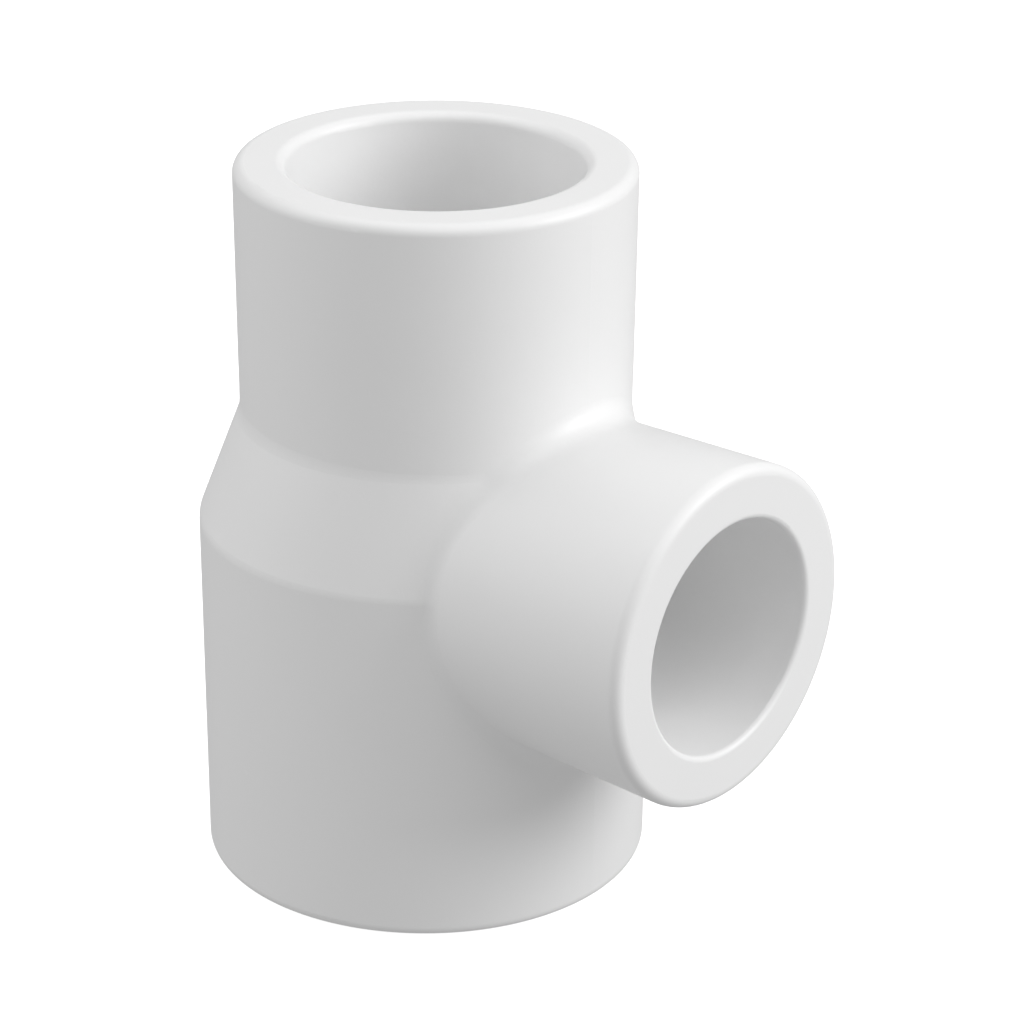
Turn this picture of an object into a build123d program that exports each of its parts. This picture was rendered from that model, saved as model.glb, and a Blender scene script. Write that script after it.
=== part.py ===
"""Eccentric reducing tee: a one-piece solvent-weld pipe fitting in white PVC.

The run climbs along +Z from a large pipe socket, through an eccentric cone, to a smaller pipe socket.
A third and smallest socket branches off at right angles along +X. The origin is the centre of the
large socket's rim, which the fitting stands on. All lengths are in millimetres.

The real fitting is a single moulding. It is described here as its three sockets and the body that
joins them, which meet face to face on plain ring-shaped planes.
"""

import os

from build123d import *

# Sockets: radius of each bore at its mouth, and how far the pipe goes in before its stop
LARGE_BORE_R = 33.66 / 2
LARGE_DEPTH = 22.2
SMALL_BORE_R = 26.87 / 2
SMALL_DEPTH = 18.3
BRANCH_BORE_R = 21.64 / 2
BRANCH_DEPTH = 17.5

# Flow passages behind the pipe stops, as wide as the inside of each pipe
LARGE_PASSAGE_R = 26.6 / 2
SMALL_PASSAGE_R = 20.9 / 2
BRANCH_PASSAGE_R = 15.8 / 2
NARROWING_BOTTOM = 38.0
NARROWING_TOP = 46.0

# Outside of the run: heights above the large rim, and radii at both ends of each drafted wall
HEIGHT = 67.9
CONE_BOTTOM = 33.8
CONE_TOP = 44.6
LARGE_RIM_R = 20.75
LARGE_ROOT_R = 20.95
SMALL_ROOT_R = 17.9
SMALL_RIM_R = 18.1

# The small socket's axis stands this far towards the branch
OFFSET = 1.3

# Outside of the branch: height of its axis, distances from the run's axis, radii at both ends
BRANCH_HEIGHT = 31.8
BRANCH_ROOT = LARGE_ROOT_R
BRANCH_REACH = 35.9
BRANCH_ROOT_R = 15.4
BRANCH_RIM_R = 15.75

# Roundings
RIM_OUTER_ROUND = 1.0
RUN_INNER_ROUND = 0.9
BRANCH_INNER_ROUND = 0.5
CONE_BOTTOM_ROUND = 2.5
CONE_TOP_ROUND = 4.0
CROTCH_ROUND = 2.0

# Planes where the sockets meet the body, clear of the crotch rounding
LARGE_JOIN = 13.5
SMALL_JOIN = HEIGHT - SMALL_DEPTH
BRANCH_JOIN = 23.5
BRANCH_LENGTH = BRANCH_REACH - BRANCH_JOIN


def drafted(start, end, at):
    """Radius of a drafted wall at a place on its axis, from the (place, radius) of its two ends."""
    (start_at, start_r), (end_at, end_r) = start, end
    return start_r + (end_r - start_r) * (at - start_at) / (end_at - start_at)


def large_r(height):
    return drafted((0, LARGE_RIM_R), (CONE_BOTTOM, LARGE_ROOT_R), height)


def small_r(height):
    return drafted((CONE_TOP, SMALL_ROOT_R), (HEIGHT, SMALL_RIM_R), height)


def branch_r(reach):
    return drafted((BRANCH_ROOT, BRANCH_ROOT_R), (BRANCH_REACH, BRANCH_RIM_R), reach)


def socket_wall(bore_r, join_r, rim_r, length, inner_round):
    """Half section of a socket: X is the radius, and Y runs from the joining face to the rim."""
    with BuildSketch() as wall:
        with BuildLine():
            Polyline((bore_r, 0), (join_r, 0), (rim_r, length), (bore_r, length), close=True)
        make_face()
        fillet(wall.vertices().group_by(Axis.Y)[-1].sort_by(Axis.X)[0], inner_round)
        fillet(wall.vertices().group_by(Axis.Y)[-1].sort_by(Axis.X)[-1], RIM_OUTER_ROUND)
    return wall.sketch


def run_plane(height, offset=0.0):
    """Plane across the run, centred on its large axis or on the offset one."""
    return Plane((offset, 0, height), x_dir=(1, 0, 0), z_dir=(0, 0, 1))


def branch_plane(reach):
    """Plane across the branch."""
    return Plane((reach, 0, BRANCH_HEIGHT), x_dir=(0, 1, 0), z_dir=(1, 0, 0))


# Lower end of the run
with BuildPart() as large_socket:
    with BuildSketch(Plane((0, 0, LARGE_JOIN), x_dir=(1, 0, 0), z_dir=(0, 1, 0))):
        add(socket_wall(LARGE_BORE_R, large_r(LARGE_JOIN), LARGE_RIM_R, LARGE_JOIN, RUN_INNER_ROUND))
    revolve(axis=Axis.Z)

# Upper end of the run, cut off at its pipe stop
with BuildPart() as small_socket:
    with BuildSketch(Plane((OFFSET, 0, SMALL_JOIN), x_dir=(1, 0, 0), z_dir=(0, -1, 0))):
        add(socket_wall(SMALL_BORE_R, small_r(SMALL_JOIN), SMALL_RIM_R, SMALL_DEPTH, RUN_INNER_ROUND))
    revolve(axis=Axis((OFFSET, 0, 0), (0, 0, 1)))

# Outer end of the branch
with BuildPart() as branch_socket:
    with BuildSketch(Plane((BRANCH_JOIN, 0, BRANCH_HEIGHT), x_dir=(0, 0, 1), z_dir=(0, 1, 0))):
        join_r = branch_r(BRANCH_JOIN)
        add(socket_wall(BRANCH_BORE_R, join_r, BRANCH_RIM_R, BRANCH_LENGTH, BRANCH_INNER_ROUND))
    revolve(axis=Axis((0, 0, BRANCH_HEIGHT), (1, 0, 0)))

# Middle of the fitting: the eccentric cone, the root of the branch and the three pipe stops
with BuildPart() as tee_body:
    # Outside of the run
    with BuildSketch(run_plane(LARGE_JOIN)):
        Circle(large_r(LARGE_JOIN))
    with BuildSketch(run_plane(CONE_BOTTOM)):
        Circle(LARGE_ROOT_R)
    loft()
    with BuildSketch(run_plane(CONE_BOTTOM)):
        Circle(LARGE_ROOT_R)
    with BuildSketch(run_plane(CONE_TOP, OFFSET)):
        Circle(SMALL_ROOT_R)
    loft()
    with BuildSketch(run_plane(CONE_TOP, OFFSET)):
        Circle(SMALL_ROOT_R)
    with BuildSketch(run_plane(SMALL_JOIN, OFFSET)):
        Circle(small_r(SMALL_JOIN))
    loft()
    bottom_ring, top_ring = tee_body.edges().filter_by(GeomType.CIRCLE).sort_by(Axis.Z)[1:3]
    fillet(bottom_ring, CONE_BOTTOM_ROUND)
    fillet(top_ring, CONE_TOP_ROUND)

    # Outside of the branch, and the rounding where it leaves the run
    with BuildSketch(branch_plane(0)):
        Circle(branch_r(0))
    with BuildSketch(branch_plane(BRANCH_JOIN)):
        Circle(branch_r(BRANCH_JOIN))
    loft()
    crotch = tee_body.edges().filter_by(GeomType.BSPLINE).filter_by_position(Axis.X, 0, BRANCH_JOIN)
    fillet(crotch, CROTCH_ROUND)

    # Run passage: the large bore as far as its stop, a wide part, a cone and a narrow part
    with BuildSketch(run_plane(LARGE_JOIN)):
        Circle(LARGE_BORE_R)
    extrude(amount=LARGE_DEPTH - LARGE_JOIN, mode=Mode.SUBTRACT)
    with BuildSketch(run_plane(LARGE_DEPTH)):
        Circle(LARGE_PASSAGE_R)
    extrude(amount=NARROWING_BOTTOM - LARGE_DEPTH, mode=Mode.SUBTRACT)
    with BuildSketch(run_plane(NARROWING_BOTTOM)):
        Circle(LARGE_PASSAGE_R)
    with BuildSketch(run_plane(NARROWING_TOP, OFFSET)):
        Circle(SMALL_PASSAGE_R)
    loft(mode=Mode.SUBTRACT)
    with BuildSketch(run_plane(NARROWING_TOP, OFFSET)):
        Circle(SMALL_PASSAGE_R)
    extrude(amount=SMALL_JOIN - NARROWING_TOP, mode=Mode.SUBTRACT)

    # Branch passage, and the branch bore outside its stop
    with BuildSketch(branch_plane(0)):
        Circle(BRANCH_PASSAGE_R)
    extrude(amount=BRANCH_JOIN, mode=Mode.SUBTRACT)
    with BuildSketch(branch_plane(BRANCH_JOIN)):
        Circle(BRANCH_BORE_R)
    extrude(amount=BRANCH_REACH - BRANCH_DEPTH - BRANCH_JOIN, mode=Mode.SUBTRACT)

large_socket.part.label = "large_socket"
small_socket.part.label = "small_socket"
branch_socket.part.label = "branch_socket"
tee_body.part.label = "tee_body"

os.makedirs("parts", exist_ok=True)
for piece in (large_socket, small_socket, branch_socket, tee_body):
    export_step(piece.part, f"parts/{piece.part.label}.step")
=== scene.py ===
import math

import bpy
from mathutils import Matrix, Vector


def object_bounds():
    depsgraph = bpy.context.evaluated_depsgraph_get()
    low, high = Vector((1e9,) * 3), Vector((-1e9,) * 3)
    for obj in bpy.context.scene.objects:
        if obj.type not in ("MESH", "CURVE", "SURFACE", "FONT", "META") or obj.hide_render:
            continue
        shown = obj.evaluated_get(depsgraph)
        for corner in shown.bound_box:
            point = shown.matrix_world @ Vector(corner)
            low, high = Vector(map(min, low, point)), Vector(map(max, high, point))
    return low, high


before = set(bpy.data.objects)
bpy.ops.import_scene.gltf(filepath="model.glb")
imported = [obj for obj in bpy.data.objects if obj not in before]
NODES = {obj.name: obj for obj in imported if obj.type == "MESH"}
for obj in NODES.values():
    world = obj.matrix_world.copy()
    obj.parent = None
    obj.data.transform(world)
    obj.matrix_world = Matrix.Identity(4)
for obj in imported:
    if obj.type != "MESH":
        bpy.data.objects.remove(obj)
cad_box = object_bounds()

MM = 0.001
HEIGHT = cad_box[1][2]


# ---------------------------------------------------------------- small helpers

def add_node(tree, kind, **inputs):
    """Adds a shader node and sets its inputs by name."""
    node = tree.nodes.new(kind)
    for name, value in inputs.items():
        node.inputs[name.replace("_", " ")].default_value = value
    return node


def direction(azimuth, elevation):
    """Unit vector away from the object. Angles in degrees: azimuth 0 is -Y, and 90 is +X."""
    az, el = math.radians(azimuth), math.radians(elevation)
    return Vector((math.sin(az) * math.cos(el), -math.cos(az) * math.cos(el), math.sin(el)))


# ---------------------------------------------------------------- white moulded PVC

PVC_COLOUR_LOW = 0.865
PVC_COLOUR_HIGH = 0.89
PVC_ROUGHNESS = (0.38, 0.48)
PVC_IOR = 1.53
MOTTLE_SCALE = 70
MOTTLE_DETAIL = 4.0
GRAIN_SCALE = 2600
GRAIN_DETAIL = 3.0
GRAIN_DEPTH = 0.006 * MM
WAVE_SCALE = 110
WAVE_DETAIL = 1.0
WAVE_DEPTH = 0.02 * MM


def white_pvc():
    """Satin white plastic. Its mottling, fine grain and slow waves are guessed, and faint."""
    material = bpy.data.materials.new("white_pvc")
    material.use_nodes = True
    tree = material.node_tree
    shader = tree.nodes["Principled BSDF"]
    shader.inputs["IOR"].default_value = PVC_IOR
    place = tree.nodes.new("ShaderNodeTexCoord")

    mottle = add_node(tree, "ShaderNodeTexNoise", Scale=MOTTLE_SCALE, Detail=MOTTLE_DETAIL)
    tint = add_node(tree, "ShaderNodeMapRange", To_Min=PVC_COLOUR_LOW, To_Max=PVC_COLOUR_HIGH)
    tree.links.new(place.outputs["Object"], mottle.inputs["Vector"])
    tree.links.new(mottle.outputs["Fac"], tint.inputs["Value"])
    tree.links.new(tint.outputs["Result"], shader.inputs["Base Color"])

    grain = add_node(tree, "ShaderNodeTexNoise", Scale=GRAIN_SCALE, Detail=GRAIN_DETAIL)
    satin = add_node(tree, "ShaderNodeMapRange", To_Min=PVC_ROUGHNESS[0], To_Max=PVC_ROUGHNESS[1])
    tree.links.new(place.outputs["Object"], grain.inputs["Vector"])
    tree.links.new(grain.outputs["Fac"], satin.inputs["Value"])
    tree.links.new(satin.outputs["Result"], shader.inputs["Roughness"])

    waves = add_node(tree, "ShaderNodeTexNoise", Scale=WAVE_SCALE, Detail=WAVE_DETAIL)
    wave_bump = add_node(tree, "ShaderNodeBump", Distance=WAVE_DEPTH)
    grain_bump = add_node(tree, "ShaderNodeBump", Distance=GRAIN_DEPTH)
    tree.links.new(place.outputs["Object"], waves.inputs["Vector"])
    tree.links.new(waves.outputs["Fac"], wave_bump.inputs["Height"])
    tree.links.new(grain.outputs["Fac"], grain_bump.inputs["Height"])
    tree.links.new(wave_bump.outputs["Normal"], grain_bump.inputs["Normal"])
    tree.links.new(grain_bump.outputs["Normal"], shader.inputs["Normal"])
    return material


def dress_fitting():
    plastic = white_pvc()
    for node in NODES.values():
        node.data.materials.clear()
        node.data.materials.append(plastic)


# ---------------------------------------------------------------- floor

FLOOR_HALF = 2.0
FLOOR_WHITE = 0.97
FLOOR_GLOW = 0.6


def make_floor():
    mesh = bpy.data.meshes.new("floor")
    corners = [(-FLOOR_HALF, -FLOOR_HALF, 0), (FLOOR_HALF, -FLOOR_HALF, 0),
               (FLOOR_HALF, FLOOR_HALF, 0), (-FLOOR_HALF, FLOOR_HALF, 0)]
    mesh.from_pydata(corners, [], [(0, 1, 2, 3)])
    floor = bpy.data.objects.new("floor", mesh)
    bpy.context.scene.collection.objects.link(floor)
    paper = bpy.data.materials.new("studio_paper")
    paper.use_nodes = True
    shader = paper.node_tree.nodes["Principled BSDF"]
    shader.inputs["Base Color"].default_value = (FLOOR_WHITE, FLOOR_WHITE, FLOOR_WHITE, 1)
    shader.inputs["Roughness"].default_value = 1.0
    shader.inputs["Specular IOR Level"].default_value = 0.0
    shader.inputs["Emission Color"].default_value = (1, 1, 1, 1)
    shader.inputs["Emission Strength"].default_value = FLOOR_GLOW
    mesh.materials.append(paper)
    # The camera sees the paper, but it throws no light back under the branch. At this glow the
    # fitting's shadow doesn't show from the photograph's angle, and the photograph has none.
    floor.visible_diffuse = False
    floor.visible_glossy = False
    floor.visible_shadow = False


# ---------------------------------------------------------------- soft studio light

WORLD_STRENGTH = 0.45
SOFT_BOX_SIZE = 400 * MM
SOFT_BOX_DISTANCE = 600 * MM


def soft_box(name, azimuth, elevation, energy):
    """A round soft box that faces the middle of the fitting."""
    data = bpy.data.lights.new(name, "AREA")
    data.shape = "DISK"
    data.size = SOFT_BOX_SIZE
    data.energy = energy
    lamp = bpy.data.objects.new(name, data)
    towards = direction(azimuth, elevation)
    lamp.location = Vector((0, 0, HEIGHT / 2)) + towards * SOFT_BOX_DISTANCE
    lamp.rotation_mode = "QUATERNION"
    lamp.rotation_quaternion = towards.to_track_quat("Z", "Y")
    bpy.context.scene.collection.objects.link(lamp)


def make_lights():
    world = bpy.data.worlds.new("studio")
    world.use_nodes = True
    background = world.node_tree.nodes["Background"]
    background.inputs["Color"].default_value = (1, 1, 1, 1)
    background.inputs["Strength"].default_value = WORLD_STRENGTH
    bpy.context.scene.world = world
    bpy.context.scene.view_settings.view_transform = "Standard"
    soft_box("key_behind_branch", azimuth=120, elevation=28, energy=2.05)
    soft_box("fill_front_left", azimuth=320, elevation=28, energy=0.5)
    soft_box("top_left", azimuth=300, elevation=58, energy=0.7)
    soft_box("top_right", azimuth=60, elevation=58, energy=0.5)


# ---------------------------------------------------------------- camera

CAMERA_AZIMUTH = 40.82
CAMERA_ELEVATION = 23.83
CAMERA_ROLL = 0.454
CAMERA_DISTANCE = 340.39 * MM
CAMERA_TARGET = 30.77 * MM
CAMERA_RIGHT = 7.99 * MM
CAMERA_UP = 2.28 * MM
CAMERA_SENSOR = 36.0
CAMERA_LENS = 128.66
CAMERA_CLIP = 10 * MM


def make_camera():
    roll = math.radians(CAMERA_ROLL)
    back = direction(CAMERA_AZIMUTH, CAMERA_ELEVATION)
    level_right = direction(CAMERA_AZIMUTH + 90, 0)
    level_up = back.cross(level_right)
    right = math.cos(roll) * level_right + math.sin(roll) * level_up
    up = back.cross(right)
    target = Vector((0, 0, CAMERA_TARGET)) + CAMERA_RIGHT * right + CAMERA_UP * up
    place = target + CAMERA_DISTANCE * back
    data = bpy.data.cameras.new("camera")
    data.sensor_width = CAMERA_SENSOR
    data.lens = CAMERA_LENS
    data.clip_start = CAMERA_CLIP
    camera = bpy.data.objects.new("camera", data)
    camera.matrix_world = Matrix((
        (right.x, up.x, back.x, place.x),
        (right.y, up.y, back.y, place.y),
        (right.z, up.z, back.z, place.z),
        (0, 0, 0, 1),
    ))
    bpy.context.scene.collection.objects.link(camera)
    bpy.context.scene.camera = camera


make_camera()
dress_fitting()
make_floor()
make_lights()
